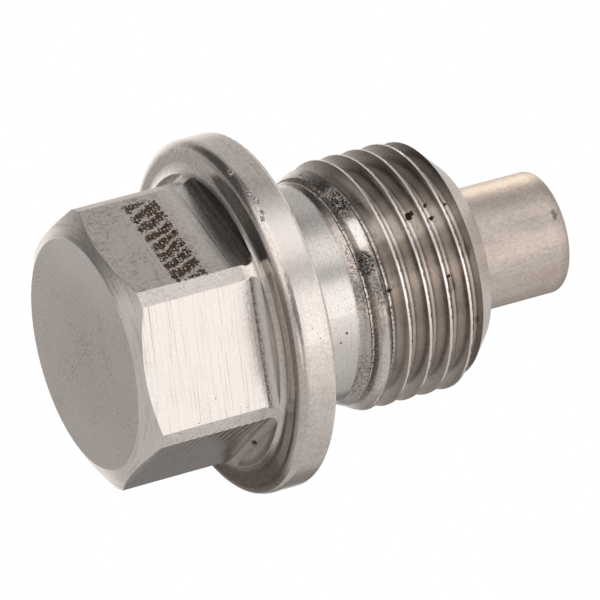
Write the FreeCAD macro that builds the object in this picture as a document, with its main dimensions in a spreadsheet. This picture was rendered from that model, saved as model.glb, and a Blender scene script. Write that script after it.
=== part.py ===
"""Magnetic oil drain plug with an M14 x 1.25 thread and a milled hexagon head.

The plug stands on the end face of its head, with its axis on +Z: the head is lowest, then the
flange, the neck, the threaded shank and, at the top, the magnet that sits in a blind bore.
Lengths are in millimetres and angles in degrees. Heights count from the head's end face.
"""
import FreeCAD
import Part

import math
import os

import Sketcher

Vector = FreeCAD.Vector

SIZES = {
    "thread_diameter": 13.9,
    "thread_pitch": 1.25,
    "thread_half_angle": 30,
    "crest_share": 0.125,
    "root_share": 0.1667,
    "across_flats": 13.9,
    "corner_turned_off": 0.24,
    "face_inset": 0.57,
    "face_chamfer_angle": 30,
    "head_height": 7.8,
    "flange_diameter": 19.7,
    "flange_thickness": 2.3,
    "flange_edge_radius": 0.6,
    "seat_edge_radius": 0.25,
    "head_fillet_radius": 0.9,
    "neck_relief": 0.875,
    "neck_length": 3.4,
    "neck_fillet_radius": 0.3,
    "lead_in_angle": 27,
    "shank_length": 11.8,
    "end_chamfer": 1.5,
    "groove_lead": 0.585,
    "groove_overrun": 0.4,
    "groove_relief": 0.06,
    "cutter_radius": 0.5,
    "cutter_gap": 0.22,
    "cutter_overrun": 1.0,
    "magnet_diameter": 6.85,
    "magnet_length": 10.0,
    "magnet_edge_radius": 0.35,
    "magnet_clearance": 0.03,
    "bore_depth": 3.8,
}

DERIVED = {
    "head_diameter": "=across_flats / cos(30 deg) - 2 * corner_turned_off",
    "face_diameter": "=across_flats - 2 * face_inset",
    "flange_ledge": "=(flange_diameter - head_diameter) / 2",
    "head_fillet": "=min(head_fillet_radius; 0.55 * flange_ledge)",
    "flange_round": "=min(flange_edge_radius; 0.4 * flange_ledge; 0.6 * flange_thickness)",
    "thread_radius": "=thread_diameter / 2",
    "neck_diameter": "=thread_diameter - 2 * neck_relief",
    "flank_slope": "=tan(thread_half_angle * 1 deg)",
    "root_width": "=root_share * thread_pitch",
    "thread_depth": "=((1 - crest_share - root_share) * thread_pitch) / 2 / flank_slope",
    "root_radius": "=thread_radius - thread_depth",
    "groove_top": "=thread_radius + groove_relief",
    "groove_top_width": "=(1 - crest_share) * thread_pitch + 2 * groove_relief * flank_slope",
    "face_chamfer_height": "=(head_diameter - face_diameter) / 2 * tan(face_chamfer_angle * 1 deg)",
    "seat_level": "=head_height + flange_thickness",
    "neck_level": "=seat_level + neck_length",
    "lead_in_height": "=neck_relief / tan(lead_in_angle * 1 deg)",
    "shank_level": "=seat_level + shank_length",
    "flat_distance": "=across_flats / 2",
    "cutter_level": "=head_height - cutter_gap",
    "bore_level": "=shank_level - bore_depth",
}


def make_sheet(doc):
    """Put the driving sizes and the sizes worked out from them into a spreadsheet."""
    sheet = doc.addObject("Spreadsheet::Sheet", "sizes")
    row = 1
    for name, value in {**SIZES, **DERIVED}.items():
        sheet.set("A%d" % row, name)
        sheet.set("B%d" % row, str(value))
        sheet.setAlias("B%d" % row, name)
        row += 1
    doc.recompute()
    return sheet


def new_body(doc, name):
    """Start the body of one sub-part."""
    body = doc.addObject("PartDesign::Body", name)
    body.Label = name
    return body


def origin_plane(body, role):
    """Find one of the body's own origin planes by its role."""
    return next(item for item in body.Origin.OriginFeatures if item.Role == role)


def new_sketch(body, name, role, height=None):
    """Start a sketch on one of the body's origin planes, raised to a height from the sheet."""
    sketch = body.newObject("Sketcher::SketchObject", name)
    sketch.AttachmentSupport = [(origin_plane(body, role), "")]
    sketch.MapMode = "FlatFace"
    if height:
        sketch.setExpression("AttachmentOffset.Base.z", height)
    return sketch


def bind(sketch, constraint, expression):
    """Add a constraint and drive its value from the sheet."""
    index = sketch.addConstraint(constraint)
    sketch.setExpression("Constraints[%d]" % index, expression)


def place_point(sketch, edge, end, across, along):
    """Fix one end of an edge by its two distances from the sketch's origin."""
    for kind, distance in (("DistanceX", across), ("DistanceY", along)):
        if distance is None:
            continue
        bind(sketch, Sketcher.Constraint(kind, -1, 1, edge, end, 1.0), distance)


def closed_outline(sketch, corners, sheet):
    """Draw a closed outline through corners given as pairs of sheet expressions.

    A distance of None keeps the corner on the axis through the sketch's origin.
    """
    points = [(evaluate(sheet, across), evaluate(sheet, along)) for across, along in corners]
    count = len(points)
    for index, start in enumerate(points):
        end = points[(index + 1) % count]
        sketch.addGeometry(Part.LineSegment(Vector(*start, 0), Vector(*end, 0)))
    for index in range(count):
        sketch.addConstraint(Sketcher.Constraint("Coincident", index, 2, (index + 1) % count, 1))
    for index, (across, along) in enumerate(corners):
        place_point(sketch, index, 1, across, along)
        if across is None:
            sketch.addConstraint(Sketcher.Constraint("PointOnObject", index, 1, -2))
        if along is None:
            sketch.addConstraint(Sketcher.Constraint("PointOnObject", index, 1, -1))


def evaluate(sheet, expression):
    """Work out a sheet expression as a plain number of millimetres."""
    if expression is None:
        return 0.0
    value = sheet.evalExpression(expression.replace("sizes.", ""))
    return float(getattr(value, "Value", value))


def circles_at(shape, radius, height):
    """Name the circular edges of a shape that lie at a radius and a height on the axis."""
    names = []
    for number, edge in enumerate(shape.Edges, start=1):
        curve = edge.Curve
        if not isinstance(curve, Part.Circle):
            continue
        if math.isclose(curve.Radius, radius, abs_tol=1e-4) and math.isclose(
            curve.Center.z, height, abs_tol=1e-4
        ):
            names.append("Edge%d" % number)
    if not names:
        raise RuntimeError("no circular edge of radius %g at height %g" % (radius, height))
    return names


def add_fillet(body, name, radius, diameter, level, sheet):
    """Round the circular edges at one diameter and level with a radius from the sheet."""
    base = body.Tip
    edges = circles_at(base.Shape, evaluate(sheet, diameter) / 2, evaluate(sheet, level))
    fillet = body.newObject("PartDesign::Fillet", name)
    fillet.Base = (base, edges)
    fillet.setExpression("Radius", radius)
    body.Document.recompute()
    return fillet


def expect_less(before, feature):
    """Stop if a cut took nothing away."""
    if feature.Shape.Volume >= before - 1e-6:
        raise RuntimeError("%s cuts nothing" % feature.Name)


def turn_blank(doc, body, sheet):
    """Turn the blank: head with its end chamfer, flange, neck, lead-in cone and shank."""
    sketch = new_sketch(body, "blank_outline", "XZ_Plane")
    corners = [
        (None, None),
        ("sizes.face_diameter / 2", None),
        ("sizes.head_diameter / 2", "sizes.face_chamfer_height"),
        ("sizes.head_diameter / 2", "sizes.head_height"),
        ("sizes.flange_diameter / 2", "sizes.head_height"),
        ("sizes.flange_diameter / 2", "sizes.seat_level"),
        ("sizes.neck_diameter / 2", "sizes.seat_level"),
        ("sizes.neck_diameter / 2", "sizes.neck_level"),
        ("sizes.thread_radius", "sizes.neck_level + sizes.lead_in_height"),
        ("sizes.thread_radius", "sizes.shank_level - sizes.end_chamfer"),
        ("sizes.thread_radius - sizes.end_chamfer", "sizes.shank_level"),
        (None, "sizes.shank_level"),
    ]
    closed_outline(sketch, corners, sheet)
    blank = body.newObject("PartDesign::Revolution", "blank")
    blank.Profile = sketch
    blank.ReferenceAxis = (sketch, ["V_Axis"])
    blank.Angle = 360
    doc.recompute()


def round_edges(body, sheet):
    """Round the turned corners: the fillet under the head, the flange's edges and the neck."""
    rounds = [
        ("head_fillet", "sizes.head_fillet", "sizes.head_diameter", "sizes.head_height"),
        ("flange_edge", "sizes.flange_round", "sizes.flange_diameter", "sizes.head_height"),
        ("seat_edge", "sizes.seat_edge_radius", "sizes.flange_diameter", "sizes.seat_level"),
        ("neck_fillet", "sizes.neck_fillet_radius", "sizes.neck_diameter", "sizes.seat_level"),
    ]
    for name, radius, diameter, level in rounds:
        add_fillet(body, name, radius, diameter, level, sheet)


def mill_flats(doc, body, sheet):
    """Mill six flats that end before the flange in the round of the cutter's corner."""
    before = body.Tip.Shape.Volume
    flat = evaluate(sheet, "flat_distance")
    radius = evaluate(sheet, "cutter_radius")
    level = evaluate(sheet, "cutter_level")
    overrun = evaluate(sheet, "cutter_overrun")
    outer = evaluate(sheet, "flange_diameter / 2") + overrun
    sketch = new_sketch(body, "flat_cut", "XZ_Plane")
    lines = [
        ((flat, -overrun), (flat, level - radius)),
        ((flat + radius, level), (outer, level)),
        ((outer, level), (outer, -overrun)),
        ((outer, -overrun), (flat, -overrun)),
    ]
    for start, end in lines:
        sketch.addGeometry(Part.LineSegment(Vector(*start, 0), Vector(*end, 0)))
    corner = Part.Circle(Vector(flat + radius, level - radius, 0), Vector(0, 0, 1), radius)
    arc = sketch.addGeometry(Part.ArcOfCircle(corner, math.pi / 2, math.pi))
    sketch.addConstraint(Sketcher.Constraint("Tangent", 0, 2, arc, 2))
    sketch.addConstraint(Sketcher.Constraint("Tangent", 1, 1, arc, 1))
    for first, second in ((1, 2), (2, 3), (3, 0)):
        sketch.addConstraint(Sketcher.Constraint("Coincident", first, 2, second, 1))
    for line, direction in ((0, "Vertical"), (1, "Horizontal"), (2, "Vertical"), (3, "Horizontal")):
        sketch.addConstraint(Sketcher.Constraint(direction, line))
    bind(sketch, Sketcher.Constraint("Radius", arc, radius), "sizes.cutter_radius")
    place_point(sketch, 0, 1, "sizes.flat_distance", "-sizes.cutter_overrun")
    place_point(
        sketch, 1, 2, "sizes.flange_diameter / 2 + sizes.cutter_overrun", "sizes.cutter_level"
    )
    cut = body.newObject("PartDesign::Pocket", "flat")
    cut.Profile = sketch
    cut.Midplane = True
    cut.setExpression("Length", "sizes.flange_diameter")
    doc.recompute()
    expect_less(before, cut)
    axis = next(item for item in body.Origin.OriginFeatures if item.Role == "Z_Axis")
    pattern = body.newObject("PartDesign::PolarPattern", "flats")
    pattern.Originals = [cut]
    pattern.Axis = (axis, [""])
    pattern.Angle = 360
    pattern.Occurrences = 6
    body.Tip = pattern
    doc.recompute()
    expect_less(cut.Shape.Volume, pattern)


def cut_thread(doc, body, sheet):
    """Wind the right-hand 60 degree groove from the neck to past the end chamfer."""
    before = body.Tip.Shape.Volume
    sketch = new_sketch(body, "thread_groove", "XZ_Plane")
    middle = "sizes.neck_level - sizes.groove_lead"
    corners = [
        ("sizes.root_radius", middle + " - sizes.root_width / 2"),
        ("sizes.groove_top", middle + " - sizes.groove_top_width / 2"),
        ("sizes.groove_top", middle + " + sizes.groove_top_width / 2"),
        ("sizes.root_radius", middle + " + sizes.root_width / 2"),
    ]
    closed_outline(sketch, corners, sheet)
    groove = body.newObject("PartDesign::SubtractiveHelix", "thread")
    groove.Profile = sketch
    groove.ReferenceAxis = (sketch, ["V_Axis"])
    groove.Mode = "pitch-height-angle"
    groove.setExpression("Pitch", "sizes.thread_pitch")
    groove.setExpression(
        "Height",
        "sizes.shank_length - sizes.neck_length + sizes.groove_lead + sizes.groove_overrun",
    )
    groove.LeftHanded = False
    groove.Reversed = False
    groove.HasBeenEdited = True
    doc.recompute()
    expect_less(before, groove)


def bore_tip(doc, body, sheet):
    """Bore the flat-bottomed blind hole that holds the magnet."""
    before = body.Tip.Shape.Volume
    sketch = new_sketch(body, "bore_circle", "XY_Plane", "sizes.shank_level")
    radius = evaluate(sheet, "magnet_diameter / 2 + magnet_clearance")
    circle = sketch.addGeometry(Part.Circle(Vector(0, 0, 0), Vector(0, 0, 1), radius))
    sketch.addConstraint(Sketcher.Constraint("Coincident", circle, 3, -1, 1))
    bind(
        sketch,
        Sketcher.Constraint("Radius", circle, radius),
        "sizes.magnet_diameter / 2 + sizes.magnet_clearance",
    )
    bore = body.newObject("PartDesign::Pocket", "magnet_bore")
    bore.Profile = sketch
    bore.setExpression("Length", "sizes.bore_depth")
    doc.recompute()
    expect_less(before, bore)


def make_plug(doc, sheet):
    """Make the one-piece steel plug."""
    body = new_body(doc, "plug_body")
    turn_blank(doc, body, sheet)
    round_edges(body, sheet)
    mill_flats(doc, body, sheet)
    cut_thread(doc, body, sheet)
    bore_tip(doc, body, sheet)
    return body


def make_magnet(doc, sheet):
    """Make the round bar magnet, seated on the bottom of its bore."""
    body = new_body(doc, "magnet")
    sketch = new_sketch(body, "magnet_circle", "XY_Plane")
    radius = evaluate(sheet, "magnet_diameter / 2")
    circle = sketch.addGeometry(Part.Circle(Vector(0, 0, 0), Vector(0, 0, 1), radius))
    sketch.addConstraint(Sketcher.Constraint("Coincident", circle, 3, -1, 1))
    bind(sketch, Sketcher.Constraint("Radius", circle, radius), "sizes.magnet_diameter / 2")
    bar = body.newObject("PartDesign::Pad", "magnet_bar")
    bar.Profile = sketch
    bar.setExpression("Length", "sizes.magnet_length")
    doc.recompute()
    edge = body.newObject("PartDesign::Fillet", "magnet_edges")
    ends = (0.0, evaluate(sheet, "magnet_length"))
    edge.Base = (bar, [name for level in ends for name in circles_at(bar.Shape, radius, level)])
    edge.setExpression("Radius", "sizes.magnet_edge_radius")
    body.setExpression("Placement.Base.z", "sizes.bore_level")
    doc.recompute()
    return body


def check_document(doc, bodies):
    """Stop if any object failed, or if a sub-part isn't one valid solid."""
    for item in doc.Objects:
        if "Invalid" in item.State or "Error" in item.State:
            raise RuntimeError("%s failed: %s" % (item.Name, item.State))
    for body in bodies:
        if body.Shape.isNull() or not body.Shape.isValid():
            raise RuntimeError("%s has no valid shape" % body.Label)
        if len(body.Shape.Solids) != 1:
            raise RuntimeError("%s isn't one solid" % body.Label)


def main():
    """Build the document and write one STEP file for each sub-part."""
    doc = FreeCAD.newDocument("drain_plug")
    sheet = make_sheet(doc)
    bodies = [make_plug(doc, sheet), make_magnet(doc, sheet)]
    doc.recompute()
    check_document(doc, bodies)
    os.makedirs("parts", exist_ok=True)
    for body in bodies:
        body.Shape.exportStep("parts/%s.step" % body.Label)
        print("%s: volume %.1f mm3" % (body.Label, body.Shape.Volume))


main()
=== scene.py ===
"""Looks of a magnetic oil drain plug: its camera, studio, floor and metal finishes.

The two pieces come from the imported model: the one-piece steel plug and the bar magnet in its tip.
The plug stands on the end face of its head with its axis on +Z. Shader lengths are millimetres.
"""
import logging
import math
from dataclasses import dataclass
from enum import IntEnum
from typing import Any, Mapping, Optional, Union

import bpy
from mathutils import Matrix, Vector


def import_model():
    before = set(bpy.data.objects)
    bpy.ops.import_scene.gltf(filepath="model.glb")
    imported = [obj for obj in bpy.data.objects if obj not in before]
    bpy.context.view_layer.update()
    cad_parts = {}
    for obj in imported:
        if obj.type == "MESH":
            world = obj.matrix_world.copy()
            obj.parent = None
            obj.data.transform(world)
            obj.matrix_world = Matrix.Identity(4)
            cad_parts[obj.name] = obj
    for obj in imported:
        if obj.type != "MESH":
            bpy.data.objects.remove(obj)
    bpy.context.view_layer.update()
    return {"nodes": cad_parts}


logging.basicConfig(level=logging.INFO, format="%(name)s: %(message)s")
LOG = logging.getLogger("drain_plug")

MM = 0.001
Colour = tuple[float, float, float]
Plain = Union[float, int]


class Signal:
    """One number or colour inside a material, with the usual arithmetic."""

    def __init__(self, sheet: "ShaderSheet", socket: bpy.types.NodeSocket) -> None:
        """Wrap one output socket."""
        self.sheet = sheet
        self.socket = socket

    def __add__(self, other: "Operand") -> "Signal":
        """Add."""
        return self.sheet.math("ADD", self, other)

    __radd__ = __add__

    def __sub__(self, other: "Operand") -> "Signal":
        """Subtract."""
        return self.sheet.math("SUBTRACT", self, other)

    def __rsub__(self, other: "Operand") -> "Signal":
        """Subtract from a plain number."""
        return self.sheet.math("SUBTRACT", other, self)

    def __mul__(self, other: "Operand") -> "Signal":
        """Multiply."""
        return self.sheet.math("MULTIPLY", self, other)

    __rmul__ = __mul__

    def __truediv__(self, other: "Operand") -> "Signal":
        """Divide."""
        return self.sheet.math("DIVIDE", self, other)

    def __rtruediv__(self, other: "Operand") -> "Signal":
        """Divide a plain number."""
        return self.sheet.math("DIVIDE", other, self)

    def __pow__(self, other: "Operand") -> "Signal":
        """Raise to a power."""
        return self.sheet.math("POWER", self, other)

    def __abs__(self) -> "Signal":
        """Take the size without the sign."""
        return self.sheet.math("ABSOLUTE", self)

    def rise(self, low: float, high: float) -> "Signal":
        """Go smoothly from 0 to 1 between two values.

        Args:
            low: the value up to which the result is 0.
            high: the value from which the result is 1.

        Returns:
            The smooth step.
        """
        if low < high:
            return self.sheet.smooth_step(self, low, high)
        return 1.0 - self.sheet.smooth_step(self, high, low)

    def band(self, low: float, high: float, soft: float) -> "Signal":
        """Be 1 between two values and 0 outside them.

        Args:
            low: the lower end of the band.
            high: the upper end of the band.
            soft: the width over which each end fades.

        Returns:
            The mask of the band.
        """
        return self.rise(low - soft, low) * self.rise(high + soft, high)


Operand = Union[Signal, Plain]


class ShaderSheet:
    """The node sheet of one material or world."""

    def __init__(self, tree: bpy.types.NodeTree) -> None:
        """Start with an empty sheet."""
        self.tree = tree
        tree.nodes.clear()

    def node(
        self,
        kind: str,
        settings: Optional[Mapping[str, Any]] = None,
        sockets: Optional[Mapping[Union[str, int], Any]] = None,
    ) -> bpy.types.Node:
        """Add one node.

        Args:
            kind: Blender's name of the node's type.
            settings: the node's own properties.
            sockets: a value or a link for each input, by name or number.

        Returns:
            The new node.
        """
        item = self.tree.nodes.new(kind)
        for name, value in (settings or {}).items():
            setattr(item, name, value)
        for name, value in (sockets or {}).items():
            if isinstance(value, Signal):
                self.tree.links.new(value.socket, item.inputs[name])
            elif isinstance(value, bpy.types.NodeSocket):
                self.tree.links.new(value, item.inputs[name])
            else:
                item.inputs[name].default_value = value
        return item

    def math(self, operation: str, *operands: Operand) -> Signal:
        """Add one Math node for an operation on numbers."""
        item = self.node("ShaderNodeMath", {"operation": operation}, dict(enumerate(operands)))
        return Signal(self, item.outputs[0])

    def smooth_step(self, value: Signal, low: float, high: float) -> Signal:
        """Map a value between two others to a smooth 0 to 1."""
        item = self.node(
            "ShaderNodeMapRange",
            {"interpolation_type": "SMOOTHSTEP"},
            {"Value": value, "From Min": low, "From Max": high},
        )
        return Signal(self, item.outputs["Result"])

    def point(self, x: Operand, y: Operand, z: Operand) -> Signal:
        """Join three numbers into a point."""
        item = self.node("ShaderNodeCombineXYZ", None, {"X": x, "Y": y, "Z": z})
        return Signal(self, item.outputs[0])

    def mix(self, share: Operand, first: Any, second: Any) -> Signal:
        """Mix two colours.

        Args:
            share: 0 gives the first colour and 1 the second.
            first: a colour or a link.
            second: a colour or a link.

        Returns:
            The mixed colour.
        """
        ends = [(*c, 1.0) if isinstance(c, tuple) else c for c in (first, second)]
        item = self.node("ShaderNodeMix", {"data_type": "RGBA", "clamp_factor": True})
        for place, value in ((0, share), (6, ends[0]), (7, ends[1])):
            if isinstance(value, Signal):
                self.tree.links.new(value.socket, item.inputs[place])
            else:
                item.inputs[place].default_value = value
        return Signal(self, item.outputs[2])

    def noise(self, place: Signal, scale: float, detail: float = 2.0, rough: float = 0.5) -> Signal:
        """Give a cloudy pattern from about 0 to 1.

        Args:
            place: the point to read it at.
            scale: cells to the unit of that point.
            detail: octaves of finer pattern.
            rough: the weight of the finer octaves.

        Returns:
            The pattern.
        """
        item = self.node(
            "ShaderNodeTexNoise",
            None,
            {"Vector": place, "Scale": scale, "Detail": detail, "Roughness": rough},
        )
        return Signal(self, item.outputs[0])

    def specks(
        self, place: Signal, scale: float, size: float, share: float, loose: float = 1.0
    ) -> Signal:
        """Scatter small round specks.

        Args:
            place: the point to read them at.
            scale: cells to the unit of that point.
            size: the radius of a speck in cells.
            share: the share of the cells that hold one.
            loose: 0 sets them in rows and 1 scatters them freely.

        Returns:
            The mask of the specks.
        """
        item = self.node(
            "ShaderNodeTexVoronoi",
            None,
            {"Vector": place, "Scale": scale, "Randomness": loose},
        )
        away = Signal(self, item.outputs["Distance"])
        parts = self.node("ShaderNodeSeparateColor", None, {"Color": item.outputs["Color"]})
        chosen = Signal(self, parts.outputs[0]).rise(1.0 - share, 1.001 - share)
        return away.rise(size, size * 0.4) * chosen


@dataclass(frozen=True)
class Blemish:
    """One patch of wear on the plug: its level and turn round the axis, and its half sizes.

    Lengths are millimetres, measured along the axis and round it, and the turn is degrees. On a
    face across the axis `radius` tells how far out the patch lies; elsewhere it is left at 0.
    """

    level: float
    turn: float
    height: float
    width: float
    radius: float = 0.0


class PlugSpace:
    """Where a point of the plug lies, in millimetres round its axis.

    `cloud`, `mottle` and `grain` are unevenness of three sizes, from about -0.5 to 0.5.
    """

    def __init__(self, sheet: ShaderSheet) -> None:
        """Read the object's coordinates and turn them into the plug's own."""
        self.sheet = sheet
        source = sheet.node("ShaderNodeTexCoord")
        scaled = sheet.node(
            "ShaderNodeVectorMath",
            {"operation": "SCALE"},
            {0: source.outputs["Object"], "Scale": 1.0 / MM},
        )
        self.point = Signal(sheet, scaled.outputs[0])
        parts = sheet.node("ShaderNodeSeparateXYZ", None, {0: self.point})
        self.x, self.y, self.z = (Signal(sheet, out) for out in parts.outputs)
        self.radius = (self.x * self.x + self.y * self.y) ** 0.5
        self.turn = sheet.math("ARCTAN2", self.y, self.x)
        self.cloud = sheet.noise(self.point, 0.5, 3.0, 0.6) - 0.5
        self.mottle = sheet.noise(self.point, 4.5, 3.0, 0.7) - 0.5
        self.grain = sheet.noise(self.point, 11.0, 2.0, 0.7) - 0.5

    def turned(self, across: float, fine: float) -> Signal:
        """Place a pattern of fine lines that run round the axis.

        Args:
            across: cells to the millimetre along the lines.
            fine: cells to the millimetre across them.

        Returns:
            The point to read a pattern at.
        """
        lift = (self.z + self.radius) * fine
        return self.sheet.point(self.x * across, self.y * across, lift)

    def patch(self, spot: Blemish, ragged: float = 0.0) -> Signal:
        """Mask one blemish.

        Args:
            spot: the place and size of the blemish.
            ragged: how far its edge wanders, as a share of its size.

        Returns:
            The mask, soft at its edge.
        """
        round_way = (self.turn - math.radians(spot.turn)) * self.radius / spot.width
        up_way = (self.z - spot.level) / spot.height
        away = round_way * round_way + up_way * up_way
        if spot.radius > 0.0:
            out_way = (self.radius - spot.radius) / spot.height
            away = away + out_way * out_way
        away = away ** 0.5
        if ragged > 0.0:
            away = away + (self.mottle + self.grain) * (3.0 * ragged)
        return away.rise(1.1, 0.6)

    def patches(self, spots: tuple[Blemish, ...], ragged: float = 0.0) -> Signal:
        """Mask several blemishes together."""
        masks = [self.patch(spot, ragged) for spot in spots]
        total = masks[0]
        for mask in masks[1:]:
            total = self.sheet.math("MAXIMUM", total, mask)
        return total


@dataclass
class Skin:
    """A surface while its look is built up; its height is in millimetres."""

    sheet: ShaderSheet
    colour: Signal
    rough: Signal
    height: Signal

    def tint(self, mask: Operand, colour: Colour) -> None:
        """Mix a colour into the places of a mask."""
        self.colour = self.sheet.mix(mask, self.colour, colour)

    def blur(self, amount: Signal) -> None:
        """Make the surface rougher."""
        self.rough = self.rough + amount

    def lift(self, amount: Signal) -> None:
        """Raise the surface."""
        self.height = self.height + amount

    def dress(self, made: bpy.types.Material, edge_radius: float) -> bpy.types.Material:
        """Finish the material as bare metal with softened edges.

        Args:
            made: the material that holds the sheet.
            edge_radius: the radius of the softened edges in millimetres.

        Returns:
            The same material.
        """
        edge = self.sheet.node("ShaderNodeBevel", {"samples": 4}, {"Radius": edge_radius * MM})
        bump = self.sheet.node(
            "ShaderNodeBump",
            None,
            {"Strength": 1.0, "Distance": MM, "Height": self.height, "Normal": edge.outputs[0]},
        )
        shader = self.sheet.node(
            "ShaderNodeBsdfPrincipled",
            None,
            {
                "Base Color": self.colour,
                "Metallic": 1.0,
                "Roughness": self.rough,
                "Normal": bump.outputs[0],
            },
        )
        self.sheet.node("ShaderNodeOutputMaterial", None, {"Surface": shader.outputs[0]})
        return made


class Flat(IntEnum):
    """The flats that the photograph shows, counted round the axis from the +X flat."""

    UPPER = -1
    FRONT = 0
    LOWER = 1


@dataclass(frozen=True)
class HeadSizes:
    """The head's sizes that its finish follows, in millimetres."""

    flat_distance: float = 6.95
    face_level: float = 0.02
    corner_radius: float = 7.785
    chamfer_height: float = 0.81
    cutter_start: float = 7.08
    cutter_level: float = 7.58
    cutter_radius: float = 0.5
    fillet_start: float = 8.095
    flange_level: float = 7.8
    flange_radius: float = 9.85


@dataclass(frozen=True)
class ThreadSizes:
    """The shank's sizes that its finish follows, in millimetres.

    Nothing of the thread lies inside `core_radius`, and nothing of the lead-in cone inside
    `cone_radius`.
    """

    seat_level: float = 10.1
    start_level: float = 13.48
    full_level: float = 15.3
    end_level: float = 20.4
    tip_level: float = 21.9
    core_radius: float = 5.65
    cone_radius: float = 5.95
    crest_radius: float = 6.95
    pitch: float = 1.25
    crest_level: float = 16.044


@dataclass(frozen=True)
class EtchedBand:
    """A plain band of laser-etched dots across one flat, in millimetres on that flat."""

    flat: Flat = Flat.UPPER
    low: float = 3.15
    high: float = 5.0
    left: float = -3.0
    right: float = 3.45
    pitch: float = 0.20
    stroke_pitch: float = 0.84


@dataclass(frozen=True)
class Wear:
    """The places of the plug's wear, and of the painted light and shade on its thread.

    The lead-in cone is torn, wiped and speckled. The thread is chipped and stained, and its flanks
    carry bands of painted light and of painted shade. The flange's rim is dinged, and a few pits
    lie alone.
    """

    torn: tuple[Blemish, ...] = (
        Blemish(level=14.55, turn=-56.0, height=0.50, width=1.20),
        Blemish(level=14.45, turn=-22.0, height=0.40, width=0.75),
    )
    wiped: tuple[Blemish, ...] = (
        Blemish(level=14.50, turn=-38.0, height=0.60, width=1.10),
        Blemish(level=14.75, turn=30.0, height=0.25, width=2.60),
    )
    speckled: tuple[Blemish, ...] = (
        Blemish(level=13.80, turn=42.0, height=0.60, width=2.40),
        Blemish(level=13.90, turn=-80.0, height=1.00, width=2.60),
        Blemish(level=13.80, turn=-14.0, height=0.40, width=2.60),
        Blemish(level=14.70, turn=-8.0, height=0.40, width=1.10),
    )
    chipped: tuple[Blemish, ...] = (
        Blemish(level=17.92, turn=-40.1, height=0.21, width=0.22),
        Blemish(level=19.12, turn=-43.5, height=0.11, width=0.12),
        Blemish(level=19.11, turn=-36.0, height=0.13, width=0.14),
        Blemish(level=20.24, turn=-41.7, height=0.12, width=0.10),
        Blemish(level=19.10, turn=-5.5, height=0.12, width=0.10),
        Blemish(level=15.45, turn=-6.6, height=0.12, width=0.14),
    )
    stained: tuple[Blemish, ...] = (
        Blemish(level=19.15, turn=-1.0, height=0.20, width=0.60),
        Blemish(level=20.48, turn=-15.7, height=0.14, width=0.50),
        Blemish(level=20.58, turn=20.8, height=0.14, width=0.30),
    )
    # Bands of painted light on the thread's flanks.
    painted_light_bands: tuple[Blemish, ...] = (
        Blemish(level=17.40, turn=-36.0, height=4.00, width=0.95),
    )
    # Bands of painted shade on the thread's flanks.
    painted_shade_bands: tuple[Blemish, ...] = (
        Blemish(level=17.50, turn=-18.0, height=4.00, width=0.80),
        Blemish(level=17.50, turn=5.0, height=4.00, width=1.25),
        Blemish(level=17.50, turn=-64.0, height=4.00, width=1.60),
        Blemish(level=17.00, turn=62.0, height=5.00, width=3.60),
    )
    dinged: tuple[Blemish, ...] = (
        Blemish(level=8.14, turn=-63.5, height=0.14, width=0.20),
        Blemish(level=8.33, turn=-52.0, height=0.17, width=0.32),
        Blemish(level=8.45, turn=-49.2, height=0.13, width=0.28),
        Blemish(level=8.40, turn=-44.4, height=0.11, width=0.18),
        Blemish(level=8.26, turn=-42.4, height=0.11, width=0.16),
        Blemish(level=10.04, turn=-42.0, height=0.10, width=0.26, radius=9.78),
    )
    pitted: tuple[Blemish, ...] = (
        Blemish(level=7.49, turn=60.4, height=0.19, width=0.34, radius=7.16),
        Blemish(level=12.72, turn=9.5, height=0.07, width=0.09),
        Blemish(level=12.33, turn=14.1, height=0.06, width=0.08),
    )


class FlatSpace:
    """Where a point lies on the nearest of the six flats, in millimetres."""

    def __init__(self, space: PlugSpace, head: HeadSizes) -> None:
        """Fold the six flats onto one.

        Args:
            space: the plug's own coordinates.
            head: the sizes of the head.
        """
        sheet = space.sheet
        sixth = math.pi / 3.0
        step = sheet.math("ROUND", space.turn / sixth)
        fold = space.turn - step * sixth
        self.number = sheet.math("MODULO", step + 6.0, 6.0)
        self.out = space.radius * sheet.math("COSINE", fold)
        self.side = space.radius * sheet.math("SINE", fold)
        near = abs(self.out - head.flat_distance).rise(0.03, 0.01)
        self.mask = near * space.z.rise(head.cutter_start + 0.05, head.cutter_start)
        bowl = (self.out - head.flat_distance - head.cutter_radius) ** 2.0
        bowl = (bowl + (space.z - head.cutter_start) ** 2.0) ** 0.5
        hollow = abs(bowl - head.cutter_radius).rise(0.03, 0.015)
        hollow = hollow * space.z.rise(head.cutter_start, head.cutter_start + 0.04)
        hollow = hollow * self.out.rise(head.flat_distance + 0.52, head.flat_distance + 0.5)
        floor = abs(space.z - head.cutter_level).rise(0.02, 0.01)
        floor = floor * space.radius.rise(head.fillet_start + 0.02, head.fillet_start)
        self.floor = floor * self.out.rise(head.flat_distance + 0.3, head.flat_distance + 0.4)
        self.hollow = sheet.math("MAXIMUM", hollow, self.floor)
        self.strip = abs(space.radius - head.corner_radius).rise(0.03, 0.015)
        below = space.z.rise(head.cutter_start - 0.03, head.cutter_start - 0.23)
        self.strip = self.strip * below * (1.0 - near)

    def chosen(self, flat: Flat) -> Signal:
        """Mask one flat."""
        return abs(self.number - float(flat % 6)).rise(0.6, 0.4)


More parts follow.
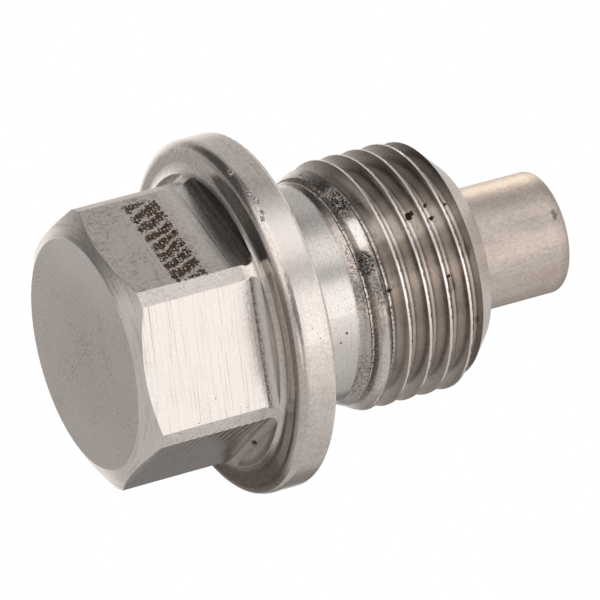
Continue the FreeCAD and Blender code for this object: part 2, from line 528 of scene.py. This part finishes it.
class ThreadSpace:
    """Where a point lies on the thread, in millimetres."""

    def __init__(self, space: PlugSpace, size: ThreadSizes) -> None:
        """Follow the helix: `across` is 0 on the crest and half a pitch at the root.

        Args:
            space: the plug's own coordinates.
            size: the sizes of the shank.
        """
        sheet = space.sheet
        climb = space.turn * (size.pitch / (2.0 * math.pi))
        # Whole turns keep the wave positive, and the half turn puts the crest at 0.
        turns_below = 20.5
        wave = space.z - size.crest_level - climb + turns_below * size.pitch
        self.across = sheet.math("MODULO", wave, size.pitch) - size.pitch / 2.0
        self.crest = abs(self.across).rise(0.09, 0.055)
        self.chamfer = space.z + space.radius - size.end_level - size.crest_radius
        outside = space.radius.rise(size.core_radius - 0.05, size.core_radius + 0.05)
        cut = self.chamfer.rise(-0.02, -0.06) * outside
        self.cut = cut * space.z.rise(size.start_level - 0.05, size.start_level)
        self.full = space.z.rise(size.start_level + 0.9, size.full_level)
        lead = space.z.band(size.start_level, size.full_level - 0.2, 0.15)
        outside = space.radius.rise(size.cone_radius - 0.05, size.cone_radius + 0.05)
        self.lead_in = lead * outside


@dataclass(frozen=True)
class SteelFinish:
    """Turned and milled stainless steel: satin, with tool marks, grime, small damage, and painted
    light and shade.

    The colours run from `white`, for freshly rubbed metal and for painted highlights, through
    `bright`, `plain` and `dull` to the darkest, used for grime and for painted shade. `edge_radius`
    is the softness of the edges in millimetres.
    """

    head: HeadSizes
    thread: ThreadSizes
    etching: EtchedBand
    wear: Wear
    white: Colour = (0.97, 0.945, 0.92)
    cool: Colour = (0.86, 0.90, 0.91)
    bright: Colour = (0.88, 0.835, 0.79)
    plain: Colour = (0.67, 0.63, 0.59)
    dull: Colour = (0.34, 0.31, 0.28)
    film: Colour = (0.475, 0.42, 0.378)
    # The darkest colour, for grime and for painted shade.
    grime_and_shade: Colour = (0.04, 0.03, 0.024)
    burnt: Colour = (0.06, 0.03, 0.014)
    toasted: Colour = (0.33, 0.225, 0.15)
    brown: Colour = (0.155, 0.118, 0.093)
    edge_radius: float = 0.05

    def material(self) -> bpy.types.Material:
        """Build the material of the steel plug.

        Returns:
            The new material.
        """
        made = bpy.data.materials.new("turned_and_milled_steel")
        made.use_nodes = True
        space = PlugSpace(ShaderSheet(made.node_tree))
        flats = FlatSpace(space, self.head)
        helix = ThreadSpace(space, self.thread)
        skin = self._turned(space, flats)
        self._end_face(skin, space)
        self._end_cone(skin, space)
        self._milled(skin, space, flats)
        self._stepped(skin, space, flats)
        self._corners(skin, space, flats)
        self._cutter_ends(skin, space, flats)
        self._flange_face(skin, space)
        self._thread_flanks(skin, space, helix)
        self._lead_in(skin, space, helix)
        self._blemishes(skin, space)
        self._etched(skin, space, flats)
        return skin.dress(made, self.edge_radius)

    def _turned(self, space: PlugSpace, flats: FlatSpace) -> Skin:
        """Lay the turned skin: cloudy tone, fine grain and faint lines round the axis.

        Args:
            space: the plug's own coordinates.
            flats: the coordinates on the flats.

        Returns:
            The new skin.
        """
        sheet = space.sheet
        rings = sheet.noise(space.turned(0.15, 7.0), 1.0, 3.0, 0.7)
        tone = 0.62 + space.cloud * 1.2 + space.mottle * 2.8 + space.grain * 2.8
        colour = sheet.mix(tone, self.plain, self.bright)
        rough = 0.2 + space.mottle * 0.16 + space.cloud * 0.1
        height = 0.0045 * space.mottle + 0.0026 * space.grain
        skin = Skin(sheet, colour, rough, height)
        lathe = (1.0 - flats.mask) * space.z.rise(self.head.face_level, 0.3)
        ledge = self.head.flange_level
        lathe = lathe * (1.0 - space.z.band(ledge - 0.2, ledge + 0.06, 0.05) * 0.85)
        skin.tint(rings.rise(0.5, 0.3) * lathe * 0.25, self.dull)
        skin.lift(rings * lathe * 0.0016)
        neck = space.z.band(self.thread.seat_level, self.thread.start_level, 0.05)
        skin.tint(neck * 0.35, self.cool)
        # Painted shade: the neck is darker on its lower side.
        skin.tint(neck * space.turn.rise(0.5, 1.0) * 0.15, self.dull)
        skin.tint(neck * (space.grain * 2.0 + space.mottle).rise(0.08, 0.36) * 0.6, self.dull)
        return skin

    def _end_face(self, skin: Skin, space: PlugSpace) -> None:
        """Make the end face matt and mottled, with painted highlights on its upper and lower parts
        and round its rim.

        Args:
            skin: the skin to work on.
            space: the plug's own coordinates.
        """
        face = space.z.rise(self.head.face_level + 0.01, self.head.face_level)
        middle = space.radius.rise(6.0, 1.5) * 0.16
        blots = middle - 0.18 + space.cloud * 2.0 + space.mottle * 5.2 + space.grain * 4.6
        skin.tint(blots * face * 0.66, self.dull)
        skin.tint(space.grain.rise(0.12, 0.24) * face * 0.35, self.dull)
        skin.tint(space.grain.rise(0.03, -0.12) * face * (0.95 - middle * 2.0), self.white)
        centre = space.radius.rise(1.8, 0.5) * face
        skin.tint(space.grain.rise(0.03, 0.12) * centre * 0.5, self.grime_and_shade)
        skin.tint(space.grain.rise(-0.04, -0.12) * centre * 0.5, self.white)
        # Painted highlights on the face's upper and lower parts and round its outer rim.
        upper = abs(space.turn + 1.35).rise(1.1, 0.2) * space.radius.rise(3.2, 5.8)
        rim = space.radius.rise(5.9, 6.8)
        lower = abs(space.turn - 1.6).rise(1.0, 0.3) * space.radius.rise(3.0, 5.0)
        skin.tint((upper * 0.75 + lower * 0.3 + rim * 0.35) * face, self.white)
        skin.blur(face * 0.1)

    def _end_cone(self, skin: Skin, space: PlugSpace) -> None:
        """Brighten the turned cone round the end face with a painted highlight, strongest at its
        front, and scuff it.

        Args:
            skin: the skin to work on.
            space: the plug's own coordinates.
        """
        cone = space.z.band(self.head.face_level + 0.01, self.head.chamfer_height, 0.01)
        scuffs = space.sheet.noise(space.turned(0.3, 4.0), 1.0, 3.0, 0.7)
        # Painted highlight: the cone is whitened all round, most at its front.
        skin.tint(cone * (0.2 + abs(space.turn - 0.3).rise(1.1, 0.6) * 0.55), self.white)
        skin.tint(cone * scuffs.rise(0.5, 0.34) * 0.4, self.dull)
        skin.blur(cone * 0.08)

    def _milled(self, skin: Skin, space: PlugSpace, flats: FlatSpace) -> None:
        """Draw the cutter's strokes across the flats, and paint highlights onto the front and upper
        flats.

        Args:
            skin: the skin to work on.
            space: the plug's own coordinates.
            flats: the coordinates on the flats.
        """
        sheet = space.sheet
        # The seed gives each flat strokes of its own.
        seed = flats.number * 7.0
        place = sheet.point(flats.side * 0.10, space.z * 8.5 + flats.side * 0.25, seed)
        strokes = sheet.noise(place, 1.0, 3.0, 0.8)
        place = sheet.point(flats.side * 0.08, space.z * 2.4, seed + 3.0)
        broad = sheet.noise(place, 1.0, 2.0, 0.6)
        top = flats.chosen(Flat.UPPER)
        front = flats.chosen(Flat.FRONT)
        # Painted highlight: the front flat is whitened, most near the flange where it reflects the
        # flange's shade, and the upper flat a little.
        pale = 0.48 + space.z.rise(6.4, 6.9) * 0.5
        skin.tint((front * pale + top * 0.25) * flats.mask, self.white)
        worn = 0.10 + space.mottle * 2.8 + space.grain * 1.8 + space.cloud * 1.2
        skin.tint(worn * flats.mask * (1.0 - front * 0.88), self.dull)
        share = 0.45 + (front + top) * 0.25
        skin.tint(strokes.rise(0.47, 0.27) * flats.mask * share, self.dull)
        # Painted light on the upper flat near the flange, where it reflects the flange's shade.
        skin.tint(top * flats.mask * space.z.rise(4.9, 6.2) * 0.75, self.white)
        skin.tint(strokes.rise(0.55, 0.7) * flats.mask * 0.4, self.white)
        deep = broad.rise(0.5, 0.38) * space.z.rise(4.9, 6.3) * flats.mask * (1.0 - front * 0.9)
        skin.tint(deep * 0.14, self.dull)
        nibbled = front * flats.mask * flats.side.rise(3.3, 3.9) * space.z.rise(4.6, 6.2)
        skin.tint(nibbled * space.grain.rise(0.04, 0.12) * 0.7, self.grime_and_shade)
        skin.lift((0.005 * strokes + 0.004 * deep) * flats.mask)

    def _stepped(self, skin: Skin, space: PlugSpace, flats: FlatSpace) -> None:
        """Cut the cutter's small steps into the lower flat.

        Args:
            skin: the skin to work on.
            space: the plug's own coordinates.
            flats: the coordinates on the flats.
        """
        half_step = 0.24
        slant = space.z + flats.side * 0.16
        steps = space.sheet.math("PINGPONG", slant, half_step) / half_step
        stepped = flats.chosen(Flat.LOWER) * flats.mask * flats.side.rise(-0.6, -2.6)
        stepped = stepped * space.z.rise(1.2, 3.0) * (0.7 + space.cloud * 1.5)
        skin.tint(steps.rise(0.55, 0.1) * stepped, self.dull)
        skin.tint(steps.rise(0.3, 0.0) * stepped * space.z.rise(3.6, 5.6) * 0.8, self.grime_and_shade)
        skin.lift(0.025 * steps * stepped)

    def _corners(self, skin: Skin, space: PlugSpace, flats: FlatSpace) -> None:
        """Rub the turned corners between the flats bright.

        Args:
            skin: the skin to work on.
            space: the plug's own coordinates.
            flats: the coordinates on the flats.
        """
        rubbed = 0.45 + space.grain * 4.0 + space.mottle * 3.4 + space.cloud * 1.6
        skin.tint(flats.strip * rubbed, self.white)
        skin.tint(flats.strip * (space.grain + space.mottle).rise(0.1, 0.2) * 0.5, self.dull)
        skin.lift(flats.strip * space.grain * 0.012)
        skin.blur(flats.strip * 0.16)

    def _cutter_ends(self, skin: Skin, space: PlugSpace, flats: FlatSpace) -> None:
        """Paint shade into the hollows that the cutter left beside the flange, and highlights onto
        the front one.

        Args:
            skin: the skin to work on.
            space: the plug's own coordinates.
            flats: the coordinates on the flats.
        """
        top = flats.chosen(Flat.UPPER)
        front = flats.chosen(Flat.FRONT)
        low = flats.chosen(Flat.LOWER)
        flecks = space.grain.rise(0.08, 0.2) * space.mottle.rise(-0.02, 0.1)
        begun = space.z.rise(self.head.cutter_start + 0.36, self.head.cutter_start + 0.12)
        bowl = flats.hollow * (1.0 - flats.floor) * (front + low)
        # Painted shade in the front and lower hollows, speckled.
        skin.tint(bowl * begun * (0.5 + low * 0.3 + space.grain * 3.0), self.dull)
        skin.tint(bowl * low * (1.0 - begun) * 0.75, self.dull)
        skin.tint(bowl * begun * front * (0.34 + space.grain * 1.6), self.grime_and_shade)
        # Painted highlight on the far part of the front hollow and on its floor.
        light = space.z.rise(self.head.cutter_start + 0.3, self.head.cutter_start + 0.48)
        skin.tint(bowl * light * front, self.white)
        skin.tint(flats.floor * front * 0.5, self.white)
        skin.tint(flats.floor * low * (0.35 + space.mottle * 2.0), self.film)
        # Painted shade along the edge where each hollow's floor meets the fillet.
        floor_edge_shade = space.radius.band(self.head.fillet_start - 0.15, self.head.fillet_start, 0.35)
        skin.tint(flats.floor * floor_edge_shade * (0.45 + low * 0.15), self.grime_and_shade)
        # Painted shade in the upper hollow, and fainter in the hidden ones, broken by light flecks.
        hollow_shade = top * 0.72 + (1.0 - top - front - low) * 0.12
        skin.tint(flats.hollow * hollow_shade * (1.0 - flecks * 0.8), self.grime_and_shade)
        skin.blur(flats.hollow * 0.12)
        skin.lift(flats.hollow * space.mottle * 0.03)

    def _flange_face(self, skin: Skin, space: PlugSpace) -> None:
        """Paint brown shade onto the flange's face round the head, most of all below, and a
        highlight onto its rim.

        Args:
            skin: the skin to work on.
            space: the plug's own coordinates.
        """
        size = self.head
        level = space.z.band(size.flange_level - 0.02, size.flange_level + 0.14, 0.05)
        face = level * space.radius.band(size.fillet_start + 0.42, size.flange_radius - 0.3, 0.12)
        side = space.turn.band(math.radians(-38.0), math.radians(112.0), 0.25)
        middle = abs(space.turn).rise(0.5, 0.15) * 0.24
        # Painted shade, brown: the face is darkened on one side, most of all at its front.
        skin.tint(face * side * (0.52 + middle + space.mottle * 0.6), self.brown)
        below = space.turn.band(math.radians(58.0), math.radians(112.0), 0.3)
        whole = space.z.band(size.flange_level - 0.25, size.flange_level + 0.2, 0.1)
        whole = whole * space.radius.rise(size.fillet_start - 0.1, size.fillet_start + 0.1)
        # Painted shade, brown, under the flange.
        skin.tint(whole * below * (0.85 + space.mottle * 0.8), self.brown)
        # Painted highlight along the rim, on its upper front.
        rim = space.radius.rise(size.flange_radius - 0.25, size.flange_radius - 0.15)
        rim_highlight = rim * space.z.band(size.flange_level + 0.5, self.thread.seat_level - 0.1, 0.1)
        skin.tint(rim_highlight * abs(space.turn + 0.6).rise(0.5, 0.2) * 0.6, self.white)
        skin.blur(whole * below * 0.22)

    def _thread_flanks(self, skin: Skin, space: PlugSpace, helix: ThreadSpace) -> None:
        """Film the thread's flanks, paint light and shade onto them, and polish its crests.

        Args:
            skin: the skin to work on.
            space: the plug's own coordinates.
            helix: the coordinates on the thread.
        """
        size = self.thread
        sheet = space.sheet
        across = helix.across
        thread = helix.cut * helix.full
        flank = thread * (1.0 - helix.crest)
        smear = sheet.noise(space.turned(0.45, 0.35), 1.0, 3.0, 0.55) - 0.5
        skin.tint(flank * (0.9 + smear * 0.7 + space.mottle * 1.1), self.film)
        # Painted light and painted shade in bands round the axis.
        skin.tint(flank * space.patches(self.wear.painted_light_bands, 0.1) * 0.7, self.bright)
        skin.tint(flank * space.patches(self.wear.painted_shade_bands, 0.1) * 0.25, self.grime_and_shade)
        # Painted highlight: the flank is lighter toward the root, with a lighter band across its
        # middle.
        skin.tint(flank * abs(across).rise(0.12, 0.45) * 0.28, self.bright)
        skin.tint(flank * across.band(0.28, 0.42, 0.05) * 0.3, self.bright)
        skin.tint(flank * helix.chamfer.rise(-1.1, -0.5) * 0.4, self.brown)
        # Painted shade: a dark line beside each crest and another in the root.
        skin.tint(flank * across.band(0.09, 0.20, 0.03) * 0.75, self.grime_and_shade)
        skin.tint(flank * across.band(0.50, 0.56, 0.02) * 0.5, self.grime_and_shade)
        rub = sheet.noise(space.turned(1.2, 4.0), 1.0, 3.0, 0.7)
        skin.tint(flank * rub.rise(0.57, 0.7) * 0.3, self.grime_and_shade)
        skin.tint(thread * helix.crest * 0.65, self.white)
        ragged = sheet.noise(space.turned(2.6, 5.0), 1.0, 2.0, 0.7)
        nicks = across.band(0.06, 0.2, 0.03) * ragged.rise(0.54, 0.57) * thread
        skin.tint(nicks * 0.95, self.grime_and_shade)
        skin.lift(nicks * -0.02)
        skin.blur(flank * 0.04)
        end = space.z.band(size.end_level + 0.05, size.tip_level - 0.03, 0.02)
        skin.tint(end * (1.0 - helix.cut) * (0.15 + space.mottle * 2.0), self.dull)

    def _lead_in(self, skin: Skin, space: PlugSpace, helix: ThreadSpace) -> None:
        """Tear the lead-in cone, where the thread begins.

        Args:
            skin: the skin to work on.
            space: the plug's own coordinates.
            helix: the coordinates on the thread.
        """
        zone = helix.lead_in
        level = self.thread.start_level
        fray = space.sheet.noise(space.point, 8.0, 3.0, 0.95)
        streaks = space.sheet.noise(space.turned(0.4, 3.0), 1.0, 3.0, 0.6)
        skin.tint(zone * streaks.rise(0.5, 0.32) * 0.5, self.dull)
        skin.tint(zone * (0.35 + space.mottle * 3.0), self.film)
        wiped = zone * space.patches(self.wear.wiped, 0.3)
        skin.tint(wiped * (0.8 + space.mottle * 2.0), self.white)
        away = abs(helix.across)
        begun = helix.cut * space.z.band(level + 0.45, level + 2.0, 0.15)
        grubby = begun * zone * helix.across.rise(-0.36, -0.42)
        skin.tint(grubby * (0.66 + space.mottle * 1.6) * (1.0 - wiped * 0.6), self.brown)
        skin.tint(begun * helix.across.rise(0.46, 0.52) * 0.6, self.grime_and_shade)
        skin.tint(begun * away.rise(0.575, 0.6) * 0.85, self.white)
        dots = fray.rise(0.51, 0.54)
        skin.tint(begun * away.rise(0.5, 0.56) * dots * 0.9, self.grime_and_shade)
        speckle = zone * space.patches(self.wear.speckled, 0.3)
        skin.tint(speckle * dots * 0.75, self.grime_and_shade)
        torn = zone * space.patches(self.wear.torn, 0.3)
        skin.tint(torn * 0.7, self.white)
        skin.tint(torn * fray.rise(0.45, 0.475), self.grime_and_shade)
        skin.lift(torn * fray * 0.14)
        skin.lift(zone * fray * 0.008)

    def _blemishes(self, skin: Skin, space: PlugSpace) -> None:
        """Add the chips, stains and dings, with a painted glint in each ding, and scatter small
        dark pits.

        Args:
            skin: the skin to work on.
            space: the plug's own coordinates.
        """
        wear = self.wear
        sheet = space.sheet
        skin.tint(space.patches(wear.stained, 0.5) * 0.5, self.burnt)
        broken = space.patches(wear.chipped, 0.6).rise(0.3, 0.6)
        skin.tint(broken, self.burnt)
        skin.lift(broken * -0.05)
        dings_and_glints = space.patches(wear.dinged, 0.5)
        flecks = sheet.noise(space.point, 7.0, 2.0, 0.8)
        skin.tint(dings_and_glints * flecks.rise(0.5, 0.46) * 0.9, self.grime_and_shade)
        # Painted glint: a white fleck in each ding beside its dark part.
        skin.tint(dings_and_glints * flecks.rise(0.5, 0.54), self.white)
        skin.lift(dings_and_glints * flecks * 0.2)
        skin.tint(space.patches(wear.pitted, 0.5), self.grime_and_shade)
        pits = sheet.specks(space.point, 1.4, 0.06, 0.3)
        small = sheet.specks(space.point, 4.0, 0.14, 0.06)
        marks = sheet.math("MAXIMUM", pits, small * 0.5)
        skin.tint(marks * 0.8, self.grime_and_shade)
        skin.lift(marks * -0.015)

    def _etched(self, skin: Skin, space: PlugSpace, flats: FlatSpace) -> None:
        """Burn the plain band of dots into one flat.

        Args:
            skin: the skin to work on.
            space: the plug's own coordinates.
            flats: the coordinates on the flats.
        """
        band = self.etching
        sheet = space.sheet
        wander = space.cloud * 0.5 + space.mottle * 0.6
        area = flats.mask * flats.chosen(band.flat)
        area = area * (space.z + wander).band(band.low, band.high, 0.05)
        area = area * (flats.side + wander).band(band.left, band.right, 0.05)
        lean = flats.side + space.z * 0.35 + space.cloud * 1.4
        strokes = sheet.math("PINGPONG", lean, band.stroke_pitch / 2.0) / band.stroke_pitch
        area = area * (strokes + space.mottle).rise(0.40, 0.32)
        place = sheet.point(flats.side, space.z, 0.0)
        dot = sheet.specks(place, 1.0 / band.pitch, 0.47, 0.95, 0.45)
        spark = (space.grain + space.mottle).rise(-0.22, 0.04)
        skin.tint(area.rise(0.0, 0.35) * 0.8, self.toasted)
        skin.tint(area * (0.8 + space.grain * 2.0), self.burnt)
        skin.tint(area * dot * spark * 0.9, self.white)
        skin.blur(area * 0.15)
        skin.lift(area * dot * -0.02)


@dataclass(frozen=True)
class MagnetFinish:
    """Matt warm grey plating of the bar magnet."""

    bright: Colour = (0.80, 0.725, 0.665)
    plain: Colour = (0.50, 0.445, 0.40)
    dark: Colour = (0.16, 0.12, 0.10)
    # `worn` is used as painted shade at the magnet's end.
    worn: Colour = (0.30, 0.25, 0.22)
    reddish: Colour = (0.72, 0.56, 0.47)
    end_level: float = 28.1
    edge_radius: float = 0.12
    nick: Blemish = Blemish(level=27.5, turn=-27.0, height=0.16, width=0.42)
    rust: Blemish = Blemish(level=26.6, turn=29.0, height=0.6, width=0.5)

    def material(self) -> bpy.types.Material:
        """Build the material of the magnet.

        Returns:
            The new material.
        """
        made = bpy.data.materials.new("plated_magnet")
        made.use_nodes = True
        sheet = ShaderSheet(made.node_tree)
        space = PlugSpace(sheet)
        place = sheet.point(space.x * 1.6, space.y * 1.6, space.z * 0.35)
        drawn = sheet.noise(place, 1.0, 4.0, 0.6) - 0.5
        tone = 0.68 + drawn * 1.3 + space.mottle * 1.6 + space.grain * 1.2
        colour = sheet.mix(tone, self.plain, self.bright)
        rough = 0.43 + drawn * 0.2
        height = 0.004 * space.mottle + 0.002 * space.grain + 0.012 * drawn
        skin = Skin(sheet, colour, rough, height)
        # Painted shade: the magnet darkens over its last millimetre toward its end.
        skin.tint(space.z.rise(self.end_level - 0.9, self.end_level - 0.1) * 0.4, self.worn)
        skin.tint(space.patch(self.rust, 0.3) * 0.4, self.reddish)
        skin.tint(space.patch(self.nick, 0.8).rise(0.3, 0.6) * 0.7, self.dark)
        skin.tint(sheet.specks(space.point, 1.6, 0.05, 0.2) * 0.6, self.dark)
        return skin.dress(made, self.edge_radius)


@dataclass(frozen=True)
class PhotoCamera:
    """The camera of the photograph, told by how the plug's axis lies in the picture.

    Angles are degrees and lengths millimetres. The axis climbs to the right by `climb` and leans
    away by `lean`; `spin` is the camera's angle round the axis, from the middle of a flat.
    """

    climb: float = 15.11
    lean: float = 23.94
    spin: float = -15.53
    aim_level: float = 12.51
    shift_right: float = 0.504
    shift_up: float = -0.084
    distance: float = 369.7
    lens: float = 409.9
    sensor: float = 36.0
    nearest: float = 20.0
    farthest: float = 20000.0

    def frame(self) -> Matrix:
        """Work out the camera's right, up and near directions as the rows of a matrix."""
        lean, spin, climb = (math.radians(a) for a in (self.lean, self.spin, self.climb))
        near = Vector(
            (math.cos(lean) * math.cos(spin), math.cos(lean) * math.sin(spin), -math.sin(lean))
        )
        axis = Vector((0.0, 0.0, 1.0))
        along = (axis - near * axis.dot(near)).normalized()
        above = near.cross(along)
        right = along * math.cos(climb) - above * math.sin(climb)
        up = along * math.sin(climb) + above * math.cos(climb)
        return Matrix((right, up, near))

    def direction(self, right: float, up: float, near: float) -> Vector:
        """Turn a direction of the picture into one of the model."""
        return (self.frame().transposed() @ Vector((right, up, near))).normalized()

    def place(self) -> None:
        """Add the camera and make it the scene's own."""
        rows = self.frame()
        spot = Vector((0.0, 0.0, self.aim_level))
        spot += rows[0] * self.shift_right + rows[1] * self.shift_up + rows[2] * self.distance
        data = bpy.data.cameras.new("camera")
        data.lens = self.lens
        data.sensor_width = self.sensor
        data.sensor_fit = "HORIZONTAL"
        data.clip_start = self.nearest * MM
        data.clip_end = self.farthest * MM
        camera = bpy.data.objects.new("camera", data)
        bpy.context.scene.collection.objects.link(camera)
        camera.matrix_world = Matrix.Translation(spot * MM) @ rows.transposed().to_4x4()
        bpy.context.scene.camera = camera


@dataclass(frozen=True)
class Softbox:
    """A soft patch of light or shade in the studio, seen from the plug.

    The direction is right, up and near in the photograph's view; the angles are degrees. Inside
    `core` the room has the patch's own level, and outside `reach` it is left as it was.
    """

    right: float
    up: float
    near: float
    core: float
    reach: float
    level: float


@dataclass(frozen=True)
class Studio:
    """The light round the plug: an even pale room with soft boxes and darker sides."""

    camera: PhotoCamera
    room: float = 0.50
    colour: Colour = (1.0, 0.945, 0.915)
    boxes: tuple[Softbox, ...] = (
        Softbox(right=-0.74, up=0.68, near=0.0, core=20.0, reach=48.0, level=0.07),
        Softbox(right=-0.93, up=-0.21, near=-0.30, core=11.0, reach=24.0, level=0.15),
        Softbox(right=-0.75, up=-0.37, near=-0.55, core=9.0, reach=16.0, level=0.10),
        Softbox(right=0.24, up=-0.11, near=0.96, core=16.0, reach=28.0, level=0.26),
        Softbox(right=-0.81, up=-0.22, near=0.55, core=3.0, reach=16.0, level=0.32),
        Softbox(right=-0.28, up=0.05, near=-0.96, core=10.0, reach=34.0, level=1.06),
        Softbox(right=1.00, up=-0.04, near=-0.09, core=34.0, reach=60.0, level=0.70),
        Softbox(right=-0.02, up=0.99, near=0.13, core=5.0, reach=18.0, level=0.15),
        Softbox(right=-0.31, up=0.40, near=0.86, core=13.0, reach=37.0, level=1.12),
        Softbox(right=0.28, up=0.72, near=0.64, core=12.0, reach=27.0, level=1.05),
        Softbox(right=0.80, up=-0.38, near=0.46, core=7.0, reach=22.0, level=0.88),
        Softbox(right=0.85, up=-0.01, near=0.52, core=13.0, reach=25.0, level=1.22),
        Softbox(right=-0.93, up=0.03, near=0.34, core=4.0, reach=10.0, level=0.95),
        Softbox(right=0.50, up=0.42, near=-0.76, core=14.0, reach=40.0, level=0.70),
        Softbox(right=0.13, up=-0.44, near=-0.89, core=8.0, reach=18.0, level=0.22),
        Softbox(right=0.07, up=-0.47, near=0.88, core=6.0, reach=15.0, level=1.0),
    )

    def light(self) -> None:
        """Light the world, white where the camera looks past the plug."""
        world = bpy.data.worlds.new("studio")
        bpy.context.scene.world = world
        world.use_nodes = True
        sheet = ShaderSheet(world.node_tree)
        source = sheet.node("ShaderNodeTexCoord")
        level: Operand = self.room
        for box in self.boxes:
            toward = self.camera.direction(box.right, box.up, box.near)
            cosine = sheet.node(
                "ShaderNodeVectorMath",
                {"operation": "DOT_PRODUCT"},
                {0: source.outputs["Generated"], 1: tuple(toward)},
            )
            patch = Signal(sheet, cosine.outputs["Value"]).rise(
                math.cos(math.radians(box.reach)), math.cos(math.radians(box.core))
            )
            level = (1.0 - patch) * level + patch * box.level
        lamp = sheet.node(
            "ShaderNodeBackground", None, {"Color": (*self.colour, 1.0), "Strength": level}
        )
        white = (1.0, 1.0, 1.0, 1.0)
        paper = sheet.node("ShaderNodeBackground", None, {"Color": white, "Strength": 1.0})
        path = sheet.node("ShaderNodeLightPath")
        mixed = sheet.node(
            "ShaderNodeMixShader",
            None,
            {0: path.outputs["Is Camera Ray"], 1: lamp.outputs[0], 2: paper.outputs[0]},
        )
        sheet.node("ShaderNodeOutputWorld", None, {"Surface": mixed.outputs[0]})
        bpy.context.scene.view_settings.view_transform = "Standard"


@dataclass(frozen=True)
class MagnetCard:
    """A small glowing card behind and above the magnet, hidden from the camera.

    Lengths are millimetres and `spread` is degrees. `toward` points from the magnet to the card,
    right, up and near in the photograph's view. `level` is how bright the card looks from
    straight ahead, beside the white paper.
    """

    camera: PhotoCamera
    level: float = 2.6
    width: float = 14.0
    away: float = 26.0
    spread: float = 44.0
    axis_level: float = 26.0
    toward: tuple[float, float, float] = (0.0, 0.80, -0.60)
    colour: Colour = (1.0, 0.90, 0.74)

    def hang(self) -> None:
        """Add the card as an area lamp that faces the magnet."""
        toward = self.camera.direction(*self.toward)
        spot = Vector((0.0, 0.0, self.axis_level)) + toward * self.away
        side = self.width * MM
        data = bpy.data.lights.new("magnet_card", "AREA")
        data.shape = "SQUARE"
        data.size = side
        half = math.radians(self.spread) / 2.0
        focus = math.tan(half) / (math.tan(half) - half)
        data.energy = self.level * math.pi * side * side / focus
        data.color = self.colour
        data.spread = math.radians(self.spread)
        lamp = bpy.data.objects.new("magnet_card", data)
        bpy.context.scene.collection.objects.link(lamp)
        turned = toward.to_track_quat("Z", "Y").to_matrix().to_4x4()
        lamp.matrix_world = Matrix.Translation(spot * MM) @ turned
        lamp.visible_camera = False


@dataclass(frozen=True)
class Floor:
    """The pale floor that the plug stands on, which can be seen only from above."""

    half_width: float = 300.0
    drop: float = 0.02
    colour: Colour = (0.9, 0.9, 0.9)

    def lay(self) -> None:
        """Add the floor under the plug."""
        bpy.ops.mesh.primitive_plane_add(
            size=2.0 * self.half_width * MM, location=(0.0, 0.0, -self.drop * MM)
        )
        floor = bpy.context.object
        floor.name = "floor"
        made = bpy.data.materials.new("pale_floor")
        made.use_nodes = True
        sheet = ShaderSheet(made.node_tree)
        paint = sheet.node("ShaderNodeBsdfDiffuse", None, {"Color": (*self.colour, 1.0)})
        clear = sheet.node("ShaderNodeBsdfTransparent")
        facing = sheet.node("ShaderNodeNewGeometry")
        mixed = sheet.node(
            "ShaderNodeMixShader",
            None,
            {0: facing.outputs["Backfacing"], 1: paint.outputs[0], 2: clear.outputs[0]},
        )
        sheet.node("ShaderNodeOutputMaterial", None, {"Surface": mixed.outputs[0]})
        floor.data.materials.append(made)
        floor.visible_diffuse = False
        floor.visible_glossy = False
        floor.visible_transmission = False
        floor.visible_shadow = False


def dress(piece: bpy.types.Object, material: bpy.types.Material) -> None:
    """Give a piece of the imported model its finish.

    Args:
        piece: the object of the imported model.
        material: the finish for every slot of it.
    """
    for slot in piece.material_slots:
        slot.material = material
    LOG.info("%s wears %s", piece.name, material.name)


def main() -> None:
    """Build the scene in order: camera, studio, floor, then the finish of each piece."""
    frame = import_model()
    bpy.ops.object.select_all(action="DESELECT")
    camera = PhotoCamera()
    camera.place()
    Studio(camera).light()
    MagnetCard(camera).hang()
    Floor().lay()
    steel = SteelFinish(HeadSizes(), ThreadSizes(), EtchedBand(), Wear())
    dress(frame["nodes"]["plug_body"], steel.material())
    dress(frame["nodes"]["magnet"], MagnetFinish().material())


if __name__ == "__main__":
    main()
